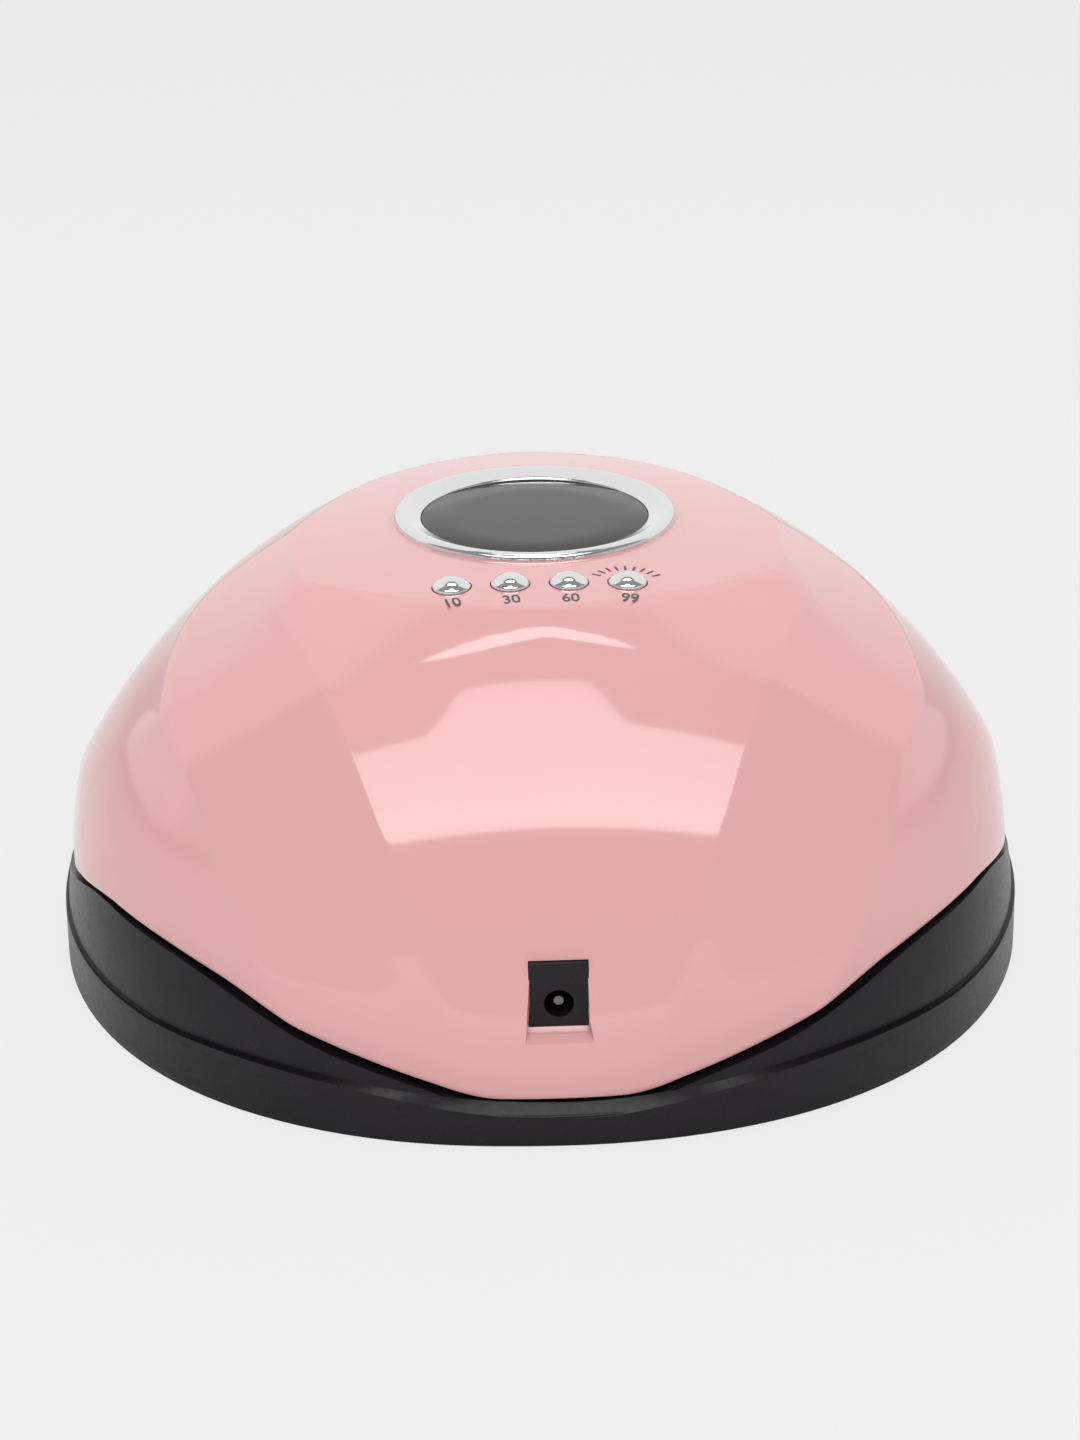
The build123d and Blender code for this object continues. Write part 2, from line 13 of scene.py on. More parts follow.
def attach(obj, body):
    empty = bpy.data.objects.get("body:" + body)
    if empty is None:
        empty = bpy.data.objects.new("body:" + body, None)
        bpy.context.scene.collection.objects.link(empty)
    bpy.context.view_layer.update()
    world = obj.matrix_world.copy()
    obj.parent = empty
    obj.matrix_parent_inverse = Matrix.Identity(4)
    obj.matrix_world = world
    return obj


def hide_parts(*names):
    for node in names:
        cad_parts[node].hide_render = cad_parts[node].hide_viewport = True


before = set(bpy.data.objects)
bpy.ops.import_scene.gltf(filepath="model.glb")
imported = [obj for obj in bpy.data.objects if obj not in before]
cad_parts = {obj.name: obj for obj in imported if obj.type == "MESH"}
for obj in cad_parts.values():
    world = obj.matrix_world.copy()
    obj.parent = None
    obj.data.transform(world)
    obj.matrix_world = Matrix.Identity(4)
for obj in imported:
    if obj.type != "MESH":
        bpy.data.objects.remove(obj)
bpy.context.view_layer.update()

MM = 0.001
sharp_angle = radians(38)         # faces that turn by more meet at a sharp edge

# ---- sizes shared with the CAD, in millimetres ----
base_width, base_depth = 235.0, 209.0
widest_line_y = -17.5
outline_power_back, outline_power_front = 2.21, 2.5
back_reach = base_depth / 2 - widest_line_y
front_reach = base_depth / 2 + widest_line_y
skirt_foot_z, skirt_lean, base_wall = 0.6, 0.02, 2.4
ledge_back_z, ledge_side_z, ledge_rise_y = 6.8, 13.0, 62.0
ledge_arc_share, ledge_arc_power = 0.98, 0.9        # shape of the ledge's dip
band_sections = ((3.0, 0.8, 0.8), (13.0, 1.0, 3.0), (36.6, 6.9, 10.0))
band_gap = 1.4
plate_top = 4.6
shell_wall = 2.4
facet_heights = (10.0, 55.0, 100.0)
ridge_blend = ((20.0, 0.55), (90.0, 0.1))           # softness of the ridges near the foot and near the rim
back_facet = (0.0, (-28.0, -8.5), (131.3, 113.8, 61.6))
side_facet = (-5.3, (-21.5, -21.5), (124.5, 118.3, 73.0))
brow_facet = (-8.0, (0.0, 0.0), (132.8, 114.3, 66.5))
skirt_facet_width = (113.6, 108.8, 64.2)
skirt_facet_back = (119.3, 108.0, 71.0)
crown_z, crown_radius, crown_y = 103.4, 490.0, -2.1
# two ridges on each side run down from the console: height, and azimuth from the lamp's side in degrees
inner_ridge = ((20.0, 79.5), (35.0, 77.2), (50.0, 73.6), (66.0, 68.8),
               (81.0, 61.5), (91.0, 51.0), (98.0, 36.0))
outer_ridge = ((20.0, 61.0), (30.0, 58.2), (43.0, 53.7), (55.0, 48.6),
               (66.0, 41.5), (76.0, 27.0), (88.0, 6.0))
ridge_slopes = (0.095, 0.19, 0.09)                  # of the back, middle and side facets at their ridges
ridge_round, side_fade = 0.5, 40.0                  # rounding of a ridge; reach of the side facet's slope
ridge_end_z, ridge_full_z = 5.0, 38.0               # between these heights the ridges grow from nothing
far_swell, far_swell_z = 8.0, (70.0, 98.0)          # how far the console leans out over the hand opening
edge_rise = ((13.0, 10.2), (28.0, 13.4), (54.0, 20.6), (74.0, 28.3), (102.0, 31.6))
edge_fall = ((-45.0, 16.5), (3.0, 22.0), (24.0, 28.0), (46.0, 31.6))
chamber_y = -12.0
chamber_wall = ((54.0, 61.0), (79.0, 33.0), (84.0, plate_top))
chamber_corner, frame_wall, shell_fit = 9.0, 3.0, 0.3
ring_y, ring_radius = -11.9, 33.4
button_places = tuple((20.2 - 13.05 * i, 33.4) for i in range(4))
button_radius, button_clear = 4.3, 0.25
inlet_face_y, inlet_half_width, inlet_low_z, inlet_high_z = 96.2, 6.2, 25.0, 40.0
pocket_slope = 0.6                # the sill falls by this much for each millimetre outwards
pocket_far_y = base_depth / 2 + 5
pocket_flare_low, pocket_flare_high = 0.62, 0.2     # how much wider the pocket is at that far end


# ---- the shell's form ----
def profile_arc(radii):
    """Centre and radius of the arc through three radii at the facet heights."""
    (r0, r1, r2), (z0, z1, z2) = radii, facet_heights
    a11, a12, b1 = 2 * (r1 - r0), 2 * (z1 - z0), r1**2 - r0**2 + z1**2 - z0**2
    a21, a22, b2 = 2 * (r2 - r0), 2 * (z2 - z0), r2**2 - r0**2 + z2**2 - z0**2
    det = a11 * a22 - a12 * a21
    r, z = (b1 * a22 - a12 * b2) / det, (a11 * b2 - a21 * b1) / det
    return r, z, hypot(r0 - r, z0 - z)


def arc_reach(arc, z, inset):
    """Radius at a height on an arc that is moved inwards."""
    r, centre_z, radius = arc
    return r + sqrt(max((radius - inset) ** 2 - (z - centre_z) ** 2, 0.0))


def superellipse(azimuth, half_width, half_depth, power):
    """Radius of an outline between an ellipse and a box."""
    across, along = abs(cos(azimuth)) / half_width, abs(sin(azimuth)) / half_depth
    return (across**power + along**power) ** (-1 / power)


def circle_reach(azimuth, x, y, radius):
    """Distance from the widest line's centre to a circle round x, y."""
    dx, dy = x, y - widest_line_y
    ahead = dx * cos(azimuth) + dy * sin(azimuth)
    return ahead + sqrt(ahead**2 - dx**2 - dy**2 + radius**2)


facet_arcs = [(side * x, ys, profile_arc(radii))
              for x, ys, radii in (back_facet, side_facet, brow_facet) for side in (1, -1)]
width_arc, back_arc = profile_arc(skirt_facet_width), profile_arc(skirt_facet_back)


def form_reach(azimuth, z, inset):
    """Radius of the ridged form: the smallest facet, blended softly with its neighbours."""
    rise = (z - facet_heights[0]) / (facet_heights[-1] - facet_heights[0])
    reaches = [circle_reach(azimuth, x, low_y + rise * (high_y - low_y), arc_reach(arc, z, inset))
               for x, (low_y, high_y), arc in facet_arcs]
    behind = sin(azimuth) > 0
    half_depth = arc_reach(back_arc, z, inset) * (1 if behind else front_reach / back_reach)
    power = outline_power_back if behind else outline_power_front
    reaches.append(superellipse(azimuth, arc_reach(width_arc, z, inset), half_depth, power))
    (low, soft), (high, crisp) = ridge_blend
    blend = mixed(soft, crisp, share_between(z, low, high))
    least = min(reaches)
    return least - blend * log(sum(exp((least - r) / blend) for r in reaches))


def outer_reach(azimuth, z):
    """Radius of the shell's outside: the form, with facets flattened so that their ridges stand crisp."""
    def off(x):
        return hypot(x, ridge_round) - ridge_round

    low, high = far_swell_z
    rise = share_between(z, low, high)
    swell = far_swell * max(-sin(azimuth), 0.0) ** 2 * rise**2 * (3 - 2 * rise)
    reach = form_reach(azimuth, z, 0) + swell
    turn = degrees(atan2(sin(azimuth), abs(cos(azimuth))))
    inner, outer = smooth_through(inner_ridge, z), smooth_through(outer_ridge, z)
    arc = radians(1) * reach
    fade = share_between(z, ridge_end_z, ridge_full_z)
    back, middle, side = (slope * fade for slope in ridge_slopes)
    if turn >= inner:
        length, x = 2 * arc * (90 - inner), arc * (turn - inner)
        return reach - back * off(x) * (length - x) / length
    if turn >= outer:
        length, x = arc * (inner - outer), arc * (inner - turn)
        return reach - middle * off(x) * off(length - x) / length
    x = arc * (outer - turn)
    return reach - side * off(x) * exp(-x / side_fade)


def outline_reach(azimuth, side_inset, back_inset):
    """Radius of the base's outline, moved inwards; the back's inset may differ from the sides'."""
    behind = sin(azimuth) > 0
    extra = (back_inset - side_inset) * sin(azimuth) ** 4 if behind else 0
    half_depth = (back_reach if behind else front_reach) - side_inset
    power = outline_power_back if behind else outline_power_front
    return superellipse(azimuth, base_width / 2 - side_inset, half_depth, power) - extra


def crown_height(x, y, inset=0):
    """Height of the console's shallow dome."""
    return crown_z - crown_radius + sqrt((crown_radius - inset) ** 2 - x**2 - (y - crown_y) ** 2)


def place(azimuth, radius, z):
    """The point at an azimuth and a radius from the widest line's centre."""
    return radius * cos(azimuth), widest_line_y + radius * sin(azimuth), z


def smooth_through(points, t):
    """Height of a smooth curve through points, level at its ends."""
    t = min(max(t, points[0][0]), points[-1][0])
    slopes = [0.0] + [(c[1] - a[1]) / (c[0] - a[0]) for a, c in zip(points, points[2:])] + [0.0]
    for (t0, z0), (t1, z1), m0, m1 in zip(points, points[1:], slopes, slopes[1:]):
        if t <= t1:
            u, step = (t - t0) / (t1 - t0), t1 - t0
            return ((2 * u**3 - 3 * u**2 + 1) * z0 + (u**3 - 2 * u**2 + u) * step * m0
                    + (3 * u**2 - 2 * u**3) * z1 + (u**3 - u**2) * step * m1)


def edge_height(x, y):
    """The shell's wavy lower edge."""
    return smooth_through(edge_rise, abs(x)) if y >= edge_fall[-1][0] else smooth_through(edge_fall, y)


def ledge_height(y):
    """The step in the base's skirt: level along the sides, and dipping at the back."""
    t = share_between(y, ledge_rise_y, base_depth / 2)
    dip = (1 - sqrt(1 - ledge_arc_share * t**2)) ** ledge_arc_power
    return ledge_side_z - (ledge_side_z - ledge_back_z) * dip


def mixed(a, b, t):
    return a + (b - a) * t


def share_between(value, low, high):
    """How far a value is on its way from low to high, from 0 to 1."""
    return min(max((value - low) / (high - low), 0.0), 1.0)


# ---- meshes ----
def add_mesh(name, points, faces, material, body="housing"):
    """A smooth-shaded object from points in millimetres, which rides on a body if one is named."""
    mesh = bpy.data.meshes.new(name)
    mesh.from_pydata([(x * MM, y * MM, z * MM) for x, y, z in points], [], faces)
    mesh.validate()
    piece = bpy.data.objects.new(name, mesh)
    bpy.context.scene.collection.objects.link(piece)
    finish_mesh(piece)
    mesh.materials.append(material)
    if body:
        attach(piece, body)
    return piece


def finish_mesh(piece):
    """Turns the faces outwards and shades them smooth between the sharp edges."""
    mesh = piece.data
    work = bmesh.new()
    work.from_mesh(mesh)
    bmesh.ops.recalc_face_normals(work, faces=work.faces)
    work.to_mesh(mesh)
    work.free()
    mesh.shade_smooth()
    mesh.set_sharp_from_angle(angle=sharp_angle)


def ring_faces(rings, count, closed):
    """Quads between rings of count points each; closed joins the last ring to the first."""
    faces = []
    for i in range(rings if closed else rings - 1):
        for j in range(count):
            a, b = i * count, (i + 1) % rings * count
            k = (j + 1) % count
            faces.append((a + j, a + k, b + k, b + j))
    return faces


def from_columns(columns):
    """Points and quads of a surface whose closed profiles are given for each azimuth."""
    rings, count = len(columns[0]), len(columns)
    points = [columns[j][i] for i in range(rings) for j in range(count)]
    return points, ring_faces(rings, count, closed=True)


def lathe(name, profile, centre, material, body="housing", segments=96):
    """A turned piece; its profile (radius, z) runs from axis to axis or round a closed loop."""
    closed = profile[0][0] > 0
    points, faces = [], []
    rings = profile if closed else profile[1:-1]
    for radius, z in rings:
        for j in range(segments):
            angle = 2 * pi * j / segments
            points.append((centre[0] + radius * cos(angle), centre[1] + radius * sin(angle), z))
    faces = ring_faces(len(rings), segments, closed)
    if not closed:
        for (radius, z), ring in ((profile[0], 0), (profile[-1], len(rings) - 1)):
            points.append((centre[0], centre[1], z))
            hub = len(points) - 1
            first = ring * segments
            faces += [(hub, first + j, first + (j + 1) % segments) for j in range(segments)]
    return add_mesh(name, points, faces, material, body)


def prism(name, outline, to_point, near, far):
    """A closed prism: outline (u, v) swept from near to far, placed by to_point(u, v, w)."""
    count = len(outline)
    points = [to_point(u, v, w) for w in (near, far) for u, v in outline]
    faces = [tuple(range(count)), tuple(range(2 * count - 1, count - 1, -1))]
    faces += [(j, (j + 1) % count, count + (j + 1) % count, count + j) for j in range(count)]
    return add_mesh(name, points, faces, None, None)


def cut(piece, cutters):
    """Subtracts the cutters from the piece's mesh, then removes them."""
    for cutter in cutters:
        step = piece.modifiers.new("cut", "BOOLEAN")
        step.operation, step.solver, step.object = "DIFFERENCE", "EXACT", cutter
    graph = bpy.context.evaluated_depsgraph_get()
    made = bpy.data.meshes.new_from_object(piece.evaluated_get(graph))
    piece.modifiers.clear()
    piece.data = made
    finish_mesh(piece)
    for cutter in cutters:
        bpy.data.objects.remove(cutter)


def rounded(points, radius, steps=6):
    """A polyline whose inner corners are replaced by arcs."""
    result = [points[0]]
    for before, corner, after in zip(points, points[1:], points[2:]):
        a, b, c = Vector(before), Vector(corner), Vector(after)
        to_a, to_c = (a - b).normalized(), (c - b).normalized()
        half = to_a.angle(to_c) / 2
        start, end = b + to_a * radius / tan(half), b + to_c * radius / tan(half)
        for i in range(steps + 1):
            t = i / steps
            p = (1 - t) ** 2 * start + 2 * t * (1 - t) * b + t**2 * end
            result.append((p.x, p.y))
    return result + [points[-1]]


def arc_points(centre, radius, start, end, steps):
    """Points on an arc, its angles in degrees."""
    angles = [radians(mixed(start, end, i / steps)) for i in range(steps + 1)]
    return [(centre[0] + radius * cos(a), centre[1] + radius * sin(a)) for a in angles]


# ---- materials ----
texture_range = (0.3, 0.7)                          # nearly all of a noise texture's values lie between these


def new_material(name, color, roughness, metallic=0.0, coat=0.0, coat_roughness=0.03, specular=0.5):
    """A principled material with plain values, which the functions below add detail to."""
    material = bpy.data.materials.new(name)
    material.use_nodes = True
    shader = material.node_tree.nodes["Principled BSDF"]
    shader.inputs["Base Color"].default_value = (*color, 1)
    shader.inputs["Roughness"].default_value = roughness
    shader.inputs["Metallic"].default_value = metallic
    shader.inputs["Coat Weight"].default_value = coat
    shader.inputs["Coat Roughness"].default_value = coat_roughness
    shader.inputs["Specular IOR Level"].default_value = specular
    return material


def noise(material, scale, detail=3.0):
    """A noise texture in object space; scale is in features per metre."""
    nodes, links = material.node_tree.nodes, material.node_tree.links
    coords = nodes.new("ShaderNodeTexCoord")
    texture = nodes.new("ShaderNodeTexNoise")
    texture.inputs["Scale"].default_value = scale
    texture.inputs["Detail"].default_value = detail
    links.new(coords.outputs["Object"], texture.inputs["Vector"])
    return texture.outputs["Fac"]


def vary(material, socket, value, low, high):
    """Drives a number on the shader between low and high by a texture's value."""
    nodes, links = material.node_tree.nodes, material.node_tree.links
    spread = nodes.new("ShaderNodeMapRange")
    spread.inputs["From Min"].default_value, spread.inputs["From Max"].default_value = texture_range
    spread.inputs["To Min"].default_value = low
    spread.inputs["To Max"].default_value = high
    links.new(value, spread.inputs["Value"])
    links.new(spread.outputs["Result"], nodes["Principled BSDF"].inputs[socket])


def tint(material, value, dark, light):
    """Drives the base colour between two colours by a texture's value."""
    nodes, links = material.node_tree.nodes, material.node_tree.links
    ramp = nodes.new("ShaderNodeValToRGB")
    ramp.color_ramp.elements[0].position, ramp.color_ramp.elements[1].position = texture_range
    ramp.color_ramp.elements[0].color = (*dark, 1)
    ramp.color_ramp.elements[1].color = (*light, 1)
    links.new(value, ramp.inputs["Fac"])
    links.new(ramp.outputs["Color"], nodes["Principled BSDF"].inputs["Base Color"])


def bump(material, value, strength, distance):
    """Raises the surface's shading by a texture's value, by up to a distance in metres."""
    nodes, links = material.node_tree.nodes, material.node_tree.links
    node = nodes.new("ShaderNodeBump")
    node.inputs["Strength"].default_value = strength
    node.inputs["Distance"].default_value = distance
    links.new(value, node.inputs["Height"])
    links.new(node.outputs["Normal"], nodes["Principled BSDF"].inputs["Normal"])


def pink_gloss():
    """Moulded gloss plastic: pigment that drifts faintly, and a skin with slight flow waves."""
    material = new_material("pink_gloss", (0.75, 0.39, 0.392), 0.1, coat=0.4, coat_roughness=0.04)
    tint(material, noise(material, 9), (0.742, 0.382, 0.384), (0.758, 0.398, 0.40))
    vary(material, "Roughness", noise(material, 260), 0.08, 0.12)
    bump(material, noise(material, 28, 1.0), 0.05, 0.0006)
    return material


def satin_black():
    """Fine-grained satin plastic."""
    material = new_material("satin_black", (0.0055, 0.0042, 0.006), 0.3, specular=0.27)
    tint(material, noise(material, 40), (0.005, 0.0038, 0.0055), (0.007, 0.0053, 0.0075))
    vary(material, "Roughness", noise(material, 700), 0.26, 0.35)
    bump(material, noise(material, 5200, 2.0), 0.12, 0.00004)
    return material


def chrome_plate():
    """Polished chrome with a faint haze."""
    material = new_material("chrome_plate", (0.74, 0.74, 0.75), 0.05, metallic=1.0)
    vary(material, "Roughness", noise(material, 400), 0.035, 0.075)
    return material


def smoked_window():
    """Near-black gloss of the display's window."""
    material = new_material("smoked_window", (0.012, 0.010, 0.012), 0.06, specular=0.36)
    vary(material, "Roughness", noise(material, 120), 0.05, 0.09)
    return material


def plastic(name, color, roughness, grain=900, spread=0.15, **more):
    """A plain moulded plastic with a faint drift in its colour and a fine grain."""
    material = new_material(name, color, roughness, **more)
    dark, light = [c * (1 - spread) for c in color], [c * (1 + spread / 3) for c in color]
    tint(material, noise(material, 60), dark, light)
    vary(material, "Roughness", noise(material, grain), roughness * 0.8, min(roughness * 1.25, 1.0))
    bump(material, noise(material, grain * 4, 2.0), 0.06, 0.00003)
    return material


def metal(name, color, roughness, grain=1500):
    """A plain metal with a faint grain."""
    material = new_material(name, color, roughness, metallic=1.0)
    vary(material, "Roughness", noise(material, grain), roughness * 0.7, roughness * 1.4)
    bump(material, noise(material, grain, 2.0), 0.05, 0.00002)
    return material


# ---- the shell ----
shell_columns = 720
crown_rings, flank_rings, inner_rings, roof_rings = 10, 72, 18, 6
rim_round, rim_margin = 0.55, 0.5                   # the rim's rounding, and the plain strip beside it
foot_round, foot_corner, foot_guess_z = 0.5, 0.15, 20.0
rim_guess_z, rim_passes = 98.0, 8
ring_lap = 0.6                                      # the ring covers this much of the crown round its hole
opening_far_y = -130.0
inlet_back_y, inlet_clear, inlet_lap = 84.0, 0.2, 0.1
sill_back_y, sill_foot_z, sill_side = 95.0, 21.5, 1.2
sill_bevel = ((96.25, 25.0), (96.95, 24.3), (98.8, 23.25))
well_depth, well_tool_height, well_segments = 1.6, 9.0, 48


def shell_profile(azimuth):
    """One closed profile of the shell's wall: crown, rim, flank, foot, and back up inside."""
    def rim(inset):
        z = rim_guess_z
        for _ in range(rim_passes):
            x, y, _z = place(azimuth, outer_reach(azimuth, z) - inset, z)
            z = crown_height(x, y, inset)
        return z

    def crown_point(radius, inset):
        x, y, _z = place(azimuth, radius, 0)
        return x, y, crown_height(x, y, inset)

    rim_z, bore = rim(0), circle_reach(azimuth, 0, ring_y, ring_radius - ring_lap)
    rim_reach = outer_reach(azimuth, rim_z)
    foot_z = edge_height(*place(azimuth, form_reach(azimuth, foot_guess_z, 0), 0)[:2])
    foot_z = edge_height(*place(azimuth, outer_reach(azimuth, foot_z), 0)[:2])
    near_rim = rim_reach - rim_round
    points = [crown_point(mixed(bore, near_rim - rim_margin, i / crown_rings), 0)
              for i in range(crown_rings + 1)]
    points.append(crown_point(near_rim, 0))
    corner, start = Vector(place(azimuth, rim_reach, rim_z)), Vector(points[-1])
    low_z = rim_z - rim_round
    end = Vector(place(azimuth, outer_reach(azimuth, low_z), low_z))
    for t in (0.25, 0.5, 0.75, 1.0):
        points.append(tuple((1 - t) ** 2 * start + 2 * t * (1 - t) * corner + t**2 * end))
    for i in range(flank_rings + 1):
        z = mixed(low_z - rim_margin, foot_z + foot_round, i / flank_rings)
        points.append(place(azimuth, outer_reach(azimuth, z), z))
    points.append(place(azimuth, outer_reach(azimuth, foot_z) - foot_corner, foot_z + foot_corner))
    points.append(place(azimuth, outer_reach(azimuth, foot_z) - foot_round, foot_z))
    points.append(place(azimuth, form_reach(azimuth, foot_z, shell_wall), foot_z))
    inner_rim_z = rim(shell_wall)
    for i in range(1, inner_rings + 1):
        z = mixed(foot_z, inner_rim_z, i / inner_rings)
        points.append(place(azimuth, form_reach(azimuth, z, shell_wall), z))
    inner_reach = form_reach(azimuth, inner_rim_z, shell_wall)
    points += [crown_point(mixed(inner_reach, bore, i / roof_rings), shell_wall)
               for i in range(1, roof_rings + 1)]
    return points


def chamber_outline(grow):
    """The chamber's cross-section (x, z): its roof is raised and its sides are drawn in by grow."""
    def normal(a, b):
        run, rise = b[0] - a[0], b[1] - a[1]
        return rise / hypot(run, rise), -run / hypot(run, rise)

    def meet(a, na, b, nb):
        ca, cb = a[0] * na[0] + a[1] * na[1] + grow, b[0] * nb[0] + b[1] * nb[1] + grow
        det = na[0] * nb[1] - na[1] * nb[0]
        return (ca * nb[1] - cb * na[1]) / det, (na[0] * cb - nb[0] * ca) / det

    roof, side, foot = chamber_wall
    slope_normal, wall_normal = normal(roof, side), normal(side, foot)
    corners = [(0, roof[1] + grow), meet(roof, (0, 1), roof, slope_normal),
               meet(side, slope_normal, side, wall_normal), (foot[0] + grow / wall_normal[0], foot[1])]
    half = rounded(corners, chamber_corner + grow)
    return half + [(-x, z) for x, z in reversed(half[1:])]


def opening_cutter(grow):
    """The room of the hand opening."""
    outline = chamber_outline(grow)
    return prism("opening_cutter", outline, lambda x, z, y: (x, y, z), chamber_y, opening_far_y)


def pocket_cutter():
    """The recess for the DC inlet, which widens outwards, and whose sill falls away outwards."""
    def to_point(y, z, x):
        if y > inlet_face_y:
            x *= 1 + (pocket_flare_low if z < inlet_low_z else pocket_flare_high)
        return x, y, z

    drop = pocket_slope * (pocket_far_y - inlet_face_y)
    outline = [(inlet_face_y, inlet_low_z), (inlet_face_y, inlet_high_z),
               (pocket_far_y, inlet_high_z), (pocket_far_y, inlet_low_z - drop)]
    return prism("pocket_cutter", outline, to_point, -inlet_half_width, inlet_half_width)


def inlet_cutter():
    """Room in the shell for the inlet's own body."""
    side, front_y = inlet_half_width + inlet_clear, inlet_face_y + inlet_lap
    low_z, high_z = inlet_low_z - inlet_clear, inlet_high_z + inlet_clear
    outline = [(inlet_back_y, low_z), (inlet_back_y, high_z), (front_y, high_z), (front_y, low_z)]
    return prism("inlet_cutter", outline, lambda y, z, x: (x, y, z), -side, side)


def make_sill(material):
    """The pocket's floor between the inlet's face and the shell's wall, with a bevel along the face."""
    side, (bevel_top, bevel_end) = inlet_half_width + sill_side, (sill_bevel[0], sill_bevel[-1])
    outline = [(sill_back_y, bevel_top[1]), *sill_bevel,
               (bevel_end[0], sill_foot_z), (sill_back_y, sill_foot_z)]
    sill = prism("pocket_sill", outline, lambda y, z, x: (x, y, z), -side, side)
    sill.data.materials.clear()
    sill.data.materials.append(material)
    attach(sill, "housing")


def well_cutter(x, y):
    """The round well that a button's cap stands in."""
    radius, low = button_radius + button_clear, crown_height(x, y) - well_depth
    high = low + well_tool_height
    profile = [(0, low), (radius, low), (radius, high), (0, high)]
    return lathe("well_cutter", profile, (x, y), None, None, well_segments)


def make_shell(material):
    """The whole pink shell, open to the hand chamber, the inlet and the buttons."""
    columns = [shell_profile(2 * pi * i / shell_columns) for i in range(shell_columns)]
    shell = add_mesh("shell_skin", *from_columns(columns), material)
    cut(shell, [opening_cutter(frame_wall + shell_fit)])
    cut(shell, [pocket_cutter(), inlet_cutter()] + [well_cutter(x, y) for x, y in button_places])
    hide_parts("top_shell")


# ---- the base ----
base_columns = 360
skirt_rings, band_rings, round_rings = 8, 16, 6
roll_radius, roll_least_room, roll_share = 2.6, 0.6, 0.8      # the rolled top edge shrinks on a low band
skirt_foot_round, skirt_foot_corner, ledge_round = 0.5, 0.15, 0.6
ledge_lap, ledge_dip, band_start = 0.12, 0.02, 0.25           # the ledge meets the band in a small groove
shelf_width, shelf_drop, shelf_lean = 1.5, 1.5, 0.1           # the flat behind the roll, under the shell
inner_foot_lift, inner_foot_lean = 0.5, 0.4


def band_inset(z):
    """How far the band above the step stands in from the outline, at the sides and at the back."""
    for (z0, side0, back0), (z1, side1, back1) in zip(band_sections, band_sections[1:]):
        if z <= z1 or z1 == band_sections[-1][0]:
            t = (z - z0) / (z1 - z0)
            return mixed(side0, side1, t), mixed(back0, back1, t)


def base_profile(azimuth):
    """One closed profile of the base's wall: skirt, step, leaning band, roll under the shell, and inside."""
    def skirt(z, inset=0.0):
        return place(azimuth, outline_reach(azimuth, inset + skirt_lean * z, inset + skirt_lean * z), z)

    def band(z, inset=0.0):
        side, back = band_inset(z)
        return place(azimuth, outline_reach(azimuth, side + inset, back + inset), z)

    ledge_z = ledge_height(skirt(ledge_side_z)[1])
    top_z = edge_height(*skirt(ledge_side_z)[:2]) - band_gap
    top_z = max(edge_height(*band(top_z)[:2]) - band_gap, ledge_z + roll_radius * roll_least_room)
    roll = min(roll_radius, roll_share * (top_z - ledge_z))
    quarter = [radians(90 * i / round_rings) for i in range(1, round_rings + 1)]
    foot_z = skirt_foot_z + skirt_foot_round
    points = [skirt(skirt_foot_z, base_wall), skirt(skirt_foot_z, skirt_foot_round),
              skirt(skirt_foot_z + skirt_foot_corner, skirt_foot_corner), skirt(foot_z)]
    points += [skirt(mixed(foot_z, ledge_z - ledge_round, i / skirt_rings))
               for i in range(1, skirt_rings + 1)]
    points += [skirt(ledge_z - ledge_round * (1 - sin(angle)), ledge_round * (1 - cos(angle)))
               for angle in quarter]
    side, back = band_inset(ledge_z)
    groove_reach = outline_reach(azimuth, side - ledge_lap, back - ledge_lap)
    points.append(place(azimuth, groove_reach, ledge_z - ledge_dip))
    points += [band(mixed(ledge_z + band_start, top_z - roll, i / band_rings)) for i in range(band_rings + 1)]
    points += [band(top_z - roll * (1 - sin(angle)), roll * (1 - cos(angle))) for angle in quarter]
    points += [band(top_z, roll + shelf_width), band(top_z - shelf_drop, roll + shelf_width + shelf_lean),
               band(plate_top + inner_foot_lift, base_wall + inner_foot_lean)]
    return points


def make_base(material):
    """The outside of the base, over the CAD's own base_housing."""
    columns = [base_profile(2 * pi * i / base_columns) for i in range(base_columns)]
    base = add_mesh("base_wall", *from_columns(columns), material)
    cut(base, [opening_cutter(frame_wall + shell_fit)])


# ---- the console ----
ring_top_z, ring_foot_z, ring_seat_z, ring_pocket_z = 104.4, 97.4, 101.2, 101.9
ring_bore, ring_collar, ring_pocket = 27.0, 30.4, 29.0
lip_round, lip_steps = 1.3, 10
bevel_end_z, bevel_steps = 102.9, 4
ring_brow = ((1.9, 0.02), (2.4, 0.12), (2.8, 0.22))           # inwards from the outside, down from the top
ring_bore_edge = ((0.5, 0.1), (0.12, -0.08), (0.0, -0.3))     # outwards from the bore, up from bevel_end_z
ring_segments, window_segments, button_segments = 192, 128, 72
window_gap, window_low_z, window_top_z = 0.05, 100.45, 102.55
window_edge_drop = 0.3
window_crown = ((26.85, -0.09), (26.6, 0.0), (18, 0.04), (9, 0.06), (0, 0.07))   # radius, height over the top
cap_lift, cap_height = 0.3, 2.1                     # the dome's rim over the crown, and the dome itself
dome_steps, dome_share = 14, 0.97                   # the dome stops just short of the cap's edge
cap_edge = ((-0.02, -0.1), (0.0, -0.4))             # outwards from the cap's radius, up from the rim
cap_flange, cap_flange_z = 5.6, (97.4, 98.3)
cap_stem, cap_stem_foot_z = 2.2, 96.65
button_seconds, label_turns = (10, 30, 60, 99), (12, 7, 1, -8)     # turns in degrees
label_distance, label_size, label_narrowing = 8.2, 5.6, 0.72
label_weight, label_thickness, label_lift = 0.07, 0.02, 0.03
tick_count, tick_step = 9, 15.0                     # step in degrees
